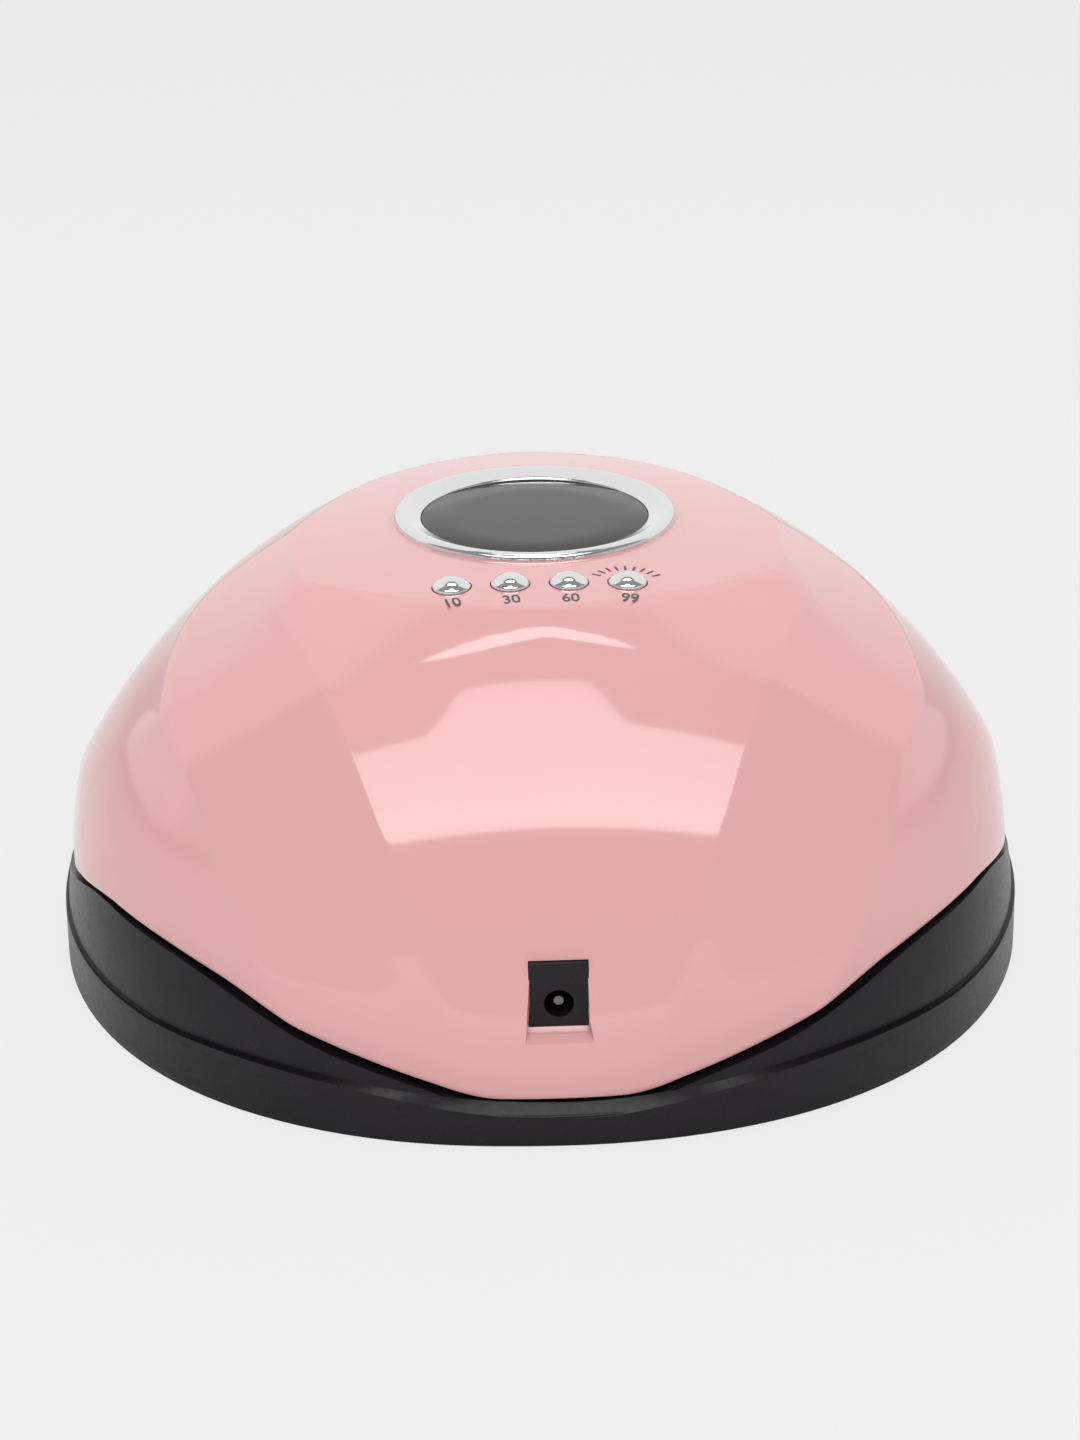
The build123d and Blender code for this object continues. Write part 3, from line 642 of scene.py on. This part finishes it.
tick_radius, tick_half_width, tick_half_length = 7.7, 0.28, 1.1
tick_heights = (0.01, 0.05)


def make_ring(material):
    """Polished ring: rounded outer lip, flat top, a bevel down to the window."""
    brow = [(ring_radius - inset, ring_top_z - drop) for inset, drop in ring_brow]
    edge = [(ring_bore + out, bevel_end_z + rise) for out, rise in ring_bore_edge]
    (brow_radius, brow_z), (edge_radius, edge_z) = brow[-1], edge[0]
    profile = [(ring_collar, ring_foot_z), (ring_collar, ring_seat_z), (ring_radius, ring_seat_z)]
    profile += arc_points((ring_radius - lip_round, ring_top_z - lip_round), lip_round, 0, 90, lip_steps)
    profile += brow[:-1]
    profile += [(mixed(brow_radius, edge_radius, i / bevel_steps), mixed(brow_z, edge_z, i / bevel_steps))
                for i in range(bevel_steps + 1)]
    profile += edge[1:]
    profile += [(ring_bore, ring_pocket_z), (ring_pocket, ring_pocket_z), (ring_pocket, ring_foot_z)]
    ring = lathe("chrome_ring", profile, (0, ring_y), material, segments=ring_segments)
    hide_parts("bezel_ring")


def make_window(material):
    """The smoked window: a disc on a flange that the ring holds down, with a barely crowned top."""
    flange, flange_z, neck = ring_pocket - window_gap, ring_pocket_z - window_gap, ring_bore - window_gap
    profile = [(0, window_low_z), (flange, window_low_z), (flange, flange_z), (neck, flange_z),
               (neck, window_top_z - window_edge_drop)]
    profile += [(radius, window_top_z + rise) for radius, rise in window_crown]
    window = lathe("window_disc", profile, (0, ring_y), material, segments=window_segments)
    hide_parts("display_window")


def make_button(number, x, y, material):
    """A domed cap above its flange, riding on its own joint."""
    rim_z = crown_height(x, y) + cap_lift
    bend = (button_radius**2 + cap_height**2) / (2 * cap_height)
    sweep = degrees(atan2(button_radius, bend - cap_height))
    profile = arc_points((0, rim_z + cap_height - bend), bend, 90, 90 - sweep * dome_share, dome_steps)
    profile += [(button_radius + out, rim_z + rise) for out, rise in cap_edge]
    flange_low_z, flange_high_z = cap_flange_z
    profile += [(button_radius, flange_high_z), (cap_flange, flange_high_z), (cap_flange, flange_low_z),
                (cap_stem, flange_low_z), (cap_stem, cap_stem_foot_z), (0, cap_stem_foot_z)]
    button = lathe(f"button_cap_{number}", profile, (x, y), material, f"button_{number}", button_segments)
    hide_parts(f"timer_button_{number}")


def print_on_crown(piece, material):
    """Moves each point of a flat printed mark onto the console's dome."""
    mesh = piece.data
    for vertex in mesh.vertices:
        x, y, z = vertex.co / MM
        vertex.co.z = (crown_height(x, y) + z) * MM
    mesh.materials.clear()
    mesh.materials.append(material)
    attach(piece, "housing")


def make_label(number, x, y, turn, material):
    """Plain seconds under a button, which read from the back, printed as thin raised ink."""
    curve = bpy.data.curves.new(f"label_{number}", "FONT")
    curve.body, curve.size, curve.offset = str(number), label_size * MM, label_weight * MM
    curve.align_x, curve.align_y = "CENTER", "CENTER"
    curve.extrude = label_thickness * MM
    text = bpy.data.objects.new(f"label_{number}", curve)
    mesh = bpy.data.meshes.new_from_object(text)
    narrow = Matrix.Diagonal((label_narrowing, 1.0, 1.0, 1.0))
    spot = Matrix.Translation((x * MM, y * MM, label_lift * MM))
    mesh.transform(spot @ Matrix.Rotation(pi + turn, 4, "Z") @ narrow)
    label = bpy.data.objects.new(f"seconds_{number}", mesh)
    bpy.context.scene.collection.objects.link(label)
    print_on_crown(label, material)


def make_ticks(x, y, material):
    """A plain arc of printed ticks beyond the last button."""
    points, faces = [], []
    for i in range(tick_count):
        angle = -pi / 2 + radians(tick_step * (i - tick_count // 2))
        out, across = Vector((cos(angle), sin(angle))), Vector((-sin(angle), cos(angle)))
        for z in tick_heights:
            for u, v in ((-1, -1), (1, -1), (1, 1), (-1, 1)):
                reach, shift = tick_radius + tick_half_length * v, tick_half_width * u
                p = Vector((x, y)) + out * reach + across * shift
                points.append((p.x, p.y, z))
        a = 8 * i
        faces += [(a, a + 1, a + 2, a + 3), (a + 7, a + 6, a + 5, a + 4)]
        faces += [(a + j, a + (j + 1) % 4, a + 4 + (j + 1) % 4, a + 4 + j) for j in range(4)]
    print_on_crown(add_mesh("tick_arc", points, faces, material, None), material)


# ---- light, floor and camera; places and sizes in metres ----
picture_level, picture_share = 0.86, 0.9     # what the camera sees round the object; its share on the floor
floor_tone, floor_half = 0.86, 40
backdrop_level, room_level, dark_level, horizon_glow = 1.0, 0.34, 0.1, 0.45
backdrop_sweep, backdrop_edge = 0.176, 0.03  # the backdrop starts 10 degrees beyond the lamp's sides
ceiling_edge, dark_edge, glow_top = (0.91, 0.87), (0.3, 0.9), 0.42   # parts of the direction's unit vector
softbox_place, softbox_size, softbox_radiance = (0.036, 1.0, 1.27), (2.0, 1.21), 3.45
hump_edge, hump_depth = (0.08, 0.17), 0.22   # shares of the softbox's width and depth
softbox_far_gain, softbox_near_gain = 0.75, 0.5
overhead_place, overhead_size, overhead_radiance = (0.01, -0.13, 1.27), (0.68, 0.27), 4.3
camera_place, camera_forward, camera_roll = (0.02096, 0.6057, 0.31336), (-0.0321, -0.9191, -0.3925), -0.014
sensor_width, focal_length = 36.0, 68.56     # millimetres


def backdrop_material():
    """Pale floor: an even tone to the camera, under which the object's shadow still shows."""
    material = bpy.data.materials.new("pale_floor")
    material.use_nodes = True
    nodes, links = material.node_tree.nodes, material.node_tree.links
    shader = nodes["Principled BSDF"]
    shader.inputs["Base Color"].default_value = (floor_tone, floor_tone, floor_tone, 1)
    shader.inputs["Roughness"].default_value = 0.9
    shader.inputs["Specular IOR Level"].default_value = 0.0
    even, path = nodes.new("ShaderNodeEmission"), nodes.new("ShaderNodeLightPath")
    even.inputs["Color"].default_value = (picture_level, picture_level, picture_level, 1)
    share, mix = nodes.new("ShaderNodeMath"), nodes.new("ShaderNodeMixShader")
    share.operation = "MULTIPLY"
    share.inputs[1].default_value = picture_share
    links.new(path.outputs["Is Camera Ray"], share.inputs[0])
    links.new(share.outputs[0], mix.inputs["Fac"])
    links.new(shader.outputs["BSDF"], mix.inputs[1])
    links.new(even.outputs["Emission"], mix.inputs[2])
    links.new(mix.outputs["Shader"], nodes["Material Output"].inputs["Surface"])
    return material


def make_floor():
    """A wide level floor at z 0."""
    corners = ((-1, -1), (1, -1), (1, 1), (-1, 1))
    mesh = bpy.data.meshes.new("floor")
    mesh.from_pydata([(x * floor_half, y * floor_half, 0) for x, y in corners], [], [(0, 1, 2, 3)])
    floor = bpy.data.objects.new("floor", mesh)
    bpy.context.scene.collection.objects.link(floor)
    mesh.materials.append(backdrop_material())


def math_in(tree):
    """A function that adds a math node to a node tree and gives its result."""
    def math(operation, *values):
        node = tree.nodes.new("ShaderNodeMath")
        node.operation = operation
        for i, value in enumerate(values):
            if isinstance(value, (int, float)):
                node.inputs[i].default_value = value
            else:
                tree.links.new(value, node.inputs[i])
        return node.outputs[0]
    return math


def smooth_step(tree, value, start, end, low=0.0, high=1.0):
    """A value that turns smoothly from low to high while another goes from start to end."""
    node = tree.nodes.new("ShaderNodeMapRange")
    node.interpolation_type = "SMOOTHSTEP"
    for socket, number in (("From Min", start), ("From Max", end), ("To Min", low), ("To Max", high)):
        node.inputs[socket].default_value = number
    tree.links.new(value, node.inputs["Value"])
    return node.outputs["Result"]


def make_world():
    """Pale backdrop beyond the object, dim ceiling, dim room before it; plain grey to the camera."""
    world = bpy.data.worlds.new("studio")
    world.use_nodes = True
    tree = world.node_tree
    nodes, links, math = tree.nodes, tree.links, math_in(tree)
    split = nodes.new("ShaderNodeSeparateXYZ")
    links.new(nodes.new("ShaderNodeTexCoord").outputs["Generated"], split.inputs["Vector"])
    x, y, z = (split.outputs[axis] for axis in "XYZ")
    past_sides = math("ADD", y, math("MULTIPLY", math("ABSOLUTE", x), backdrop_sweep))
    beyond = smooth_step(tree, past_sides, backdrop_edge, -backdrop_edge)
    below_ceiling = smooth_step(tree, z, *ceiling_edge)
    near = smooth_step(tree, y, *dark_edge)
    horizon = math("MULTIPLY", smooth_step(tree, z, glow_top, 0.0), horizon_glow)
    dimmed = math("SUBTRACT", room_level, math("MULTIPLY", near, room_level - dark_level))
    room = math("ADD", horizon, dimmed)
    bright = math("MULTIPLY", beyond, below_ceiling)
    tone = math("ADD", room, math("MULTIPLY", bright, math("SUBTRACT", backdrop_level, room)))
    pick = nodes.new("ShaderNodeMix")
    pick.inputs["B"].default_value = picture_level
    links.new(nodes.new("ShaderNodeLightPath").outputs["Is Camera Ray"], pick.inputs["Factor"])
    links.new(tone, pick.inputs["A"])
    links.new(pick.outputs["Result"], nodes["Background"].inputs["Color"])
    bpy.context.scene.world = world


def area_light(name, shape, position, size, radiance):
    """A level lamp whose surface shines at a radiance."""
    data = bpy.data.lights.new(name, "AREA")
    data.shape, data.size, data.size_y = shape, size[0], size[1]
    data.energy = radiance * pi * size[0] * size[1] * (1 if shape == "RECTANGLE" else pi / 4)
    lamp = bpy.data.objects.new(name, data)
    bpy.context.scene.collection.objects.link(lamp)
    lamp.location = position
    return lamp


def shape_softbox(lamp):
    """Narrows the far edge of the softbox to a hump, and makes it brighter near its near edge."""
    lamp.data.use_nodes = True
    tree = lamp.data.node_tree
    nodes, links, math = tree.nodes, tree.links, math_in(tree)
    split = nodes.new("ShaderNodeSeparateXYZ")
    links.new(nodes.new("ShaderNodeNewGeometry").outputs["Parametric"], split.inputs["Vector"])
    across = math("ABSOLUTE", math("SUBTRACT", split.outputs["X"], 0.5))
    far_edge = smooth_step(tree, across, *hump_edge, 0.0, hump_depth)
    inside = math("GREATER_THAN", split.outputs["Y"], far_edge)
    gain = math("ADD", softbox_far_gain, math("MULTIPLY", split.outputs["Y"], softbox_near_gain))
    links.new(math("MULTIPLY", inside, gain), nodes["Emission"].inputs["Strength"])


def make_camera():
    """The camera stands behind the lamp and looks down on the console."""
    data = bpy.data.cameras.new("camera")
    data.sensor_width, data.lens = sensor_width, focal_length
    camera = bpy.data.objects.new("camera", data)
    bpy.context.scene.collection.objects.link(camera)
    camera.location = camera_place
    aim = Vector(camera_forward).normalized().to_track_quat("-Z", "Y")
    camera.rotation_mode = "QUATERNION"
    camera.rotation_quaternion = aim @ Matrix.Rotation(camera_roll, 3, "Z").to_quaternion()
    bpy.context.scene.camera = camera


bpy.context.scene.view_settings.view_transform = "Standard"
make_camera()
make_world()
make_floor()
shape_softbox(area_light("softbox", "RECTANGLE", softbox_place, softbox_size, softbox_radiance))
area_light("overhead", "ELLIPSE", overhead_place, overhead_size, overhead_radiance)

pink, black, chrome = pink_gloss(), satin_black(), chrome_plate()
ink = plastic("label_ink", (0.08, 0.07, 0.075), 0.5)
make_shell(pink)
make_sill(pink)
make_base(black)
make_ring(chrome)
make_window(smoked_window())
for seconds, (spot_x, spot_y), turn in zip(button_seconds, button_places, label_turns):
    make_button(seconds, spot_x, spot_y, chrome)
    make_label(seconds, spot_x, spot_y + label_distance, radians(turn), ink)
make_ticks(*button_places[-1], ink)

finishes = {
    "base_housing": black,
    "opening_frame": black,
    "reflector_dome": metal("liner_mirror", (0.80, 0.80, 0.82), 0.16, 300),
    "bottom_tray": plastic("tray_white", (0.72, 0.70, 0.70), 0.28),
    "dc_inlet_body": plastic("inlet_black", (0.008, 0.006, 0.008), 0.3, specular=0.25),
    "dc_inlet_pin": metal("pin_nickel", (0.16, 0.155, 0.15), 0.3),
    "rubber_feet": plastic("foot_rubber", (0.02, 0.02, 0.02), 0.8),
}
for names, material in (
        (("leds_lower", "leds_slope", "leds_roof"), plastic("led_lens", (0.80, 0.62, 0.18), 0.2, coat=0.5)),
        (("led_strip_lower", "led_strip_slope", "led_side_boards", "led_roof_board"),
         plastic("board_white", (0.75, 0.76, 0.76), 0.45)),
        (("sensor_board", "control_board"), plastic("board_green", (0.02, 0.12, 0.05), 0.4)),
        (("sensor_eyes",), plastic("sensor_dark", (0.02, 0.008, 0.02), 0.15)),
        (("display_module",), plastic("module_black", (0.015, 0.015, 0.017), 0.4)),
        (("tact_switches",), plastic("switch_grey", (0.10, 0.10, 0.11), 0.45)),
        (("button_guide",), plastic("guide_white", (0.62, 0.62, 0.60), 0.5)),
        (("board_screws", "base_screws"), metal("screw_steel", (0.55, 0.55, 0.56), 0.3)),
        (("tray_magnets", "housing_magnets"), metal("magnet_nickel", (0.62, 0.61, 0.60), 0.22))):
    finishes.update({name: material for name in names})
for name, material in finishes.items():
    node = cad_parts[name]
    node.data.materials.clear()
    node.data.materials.append(material)
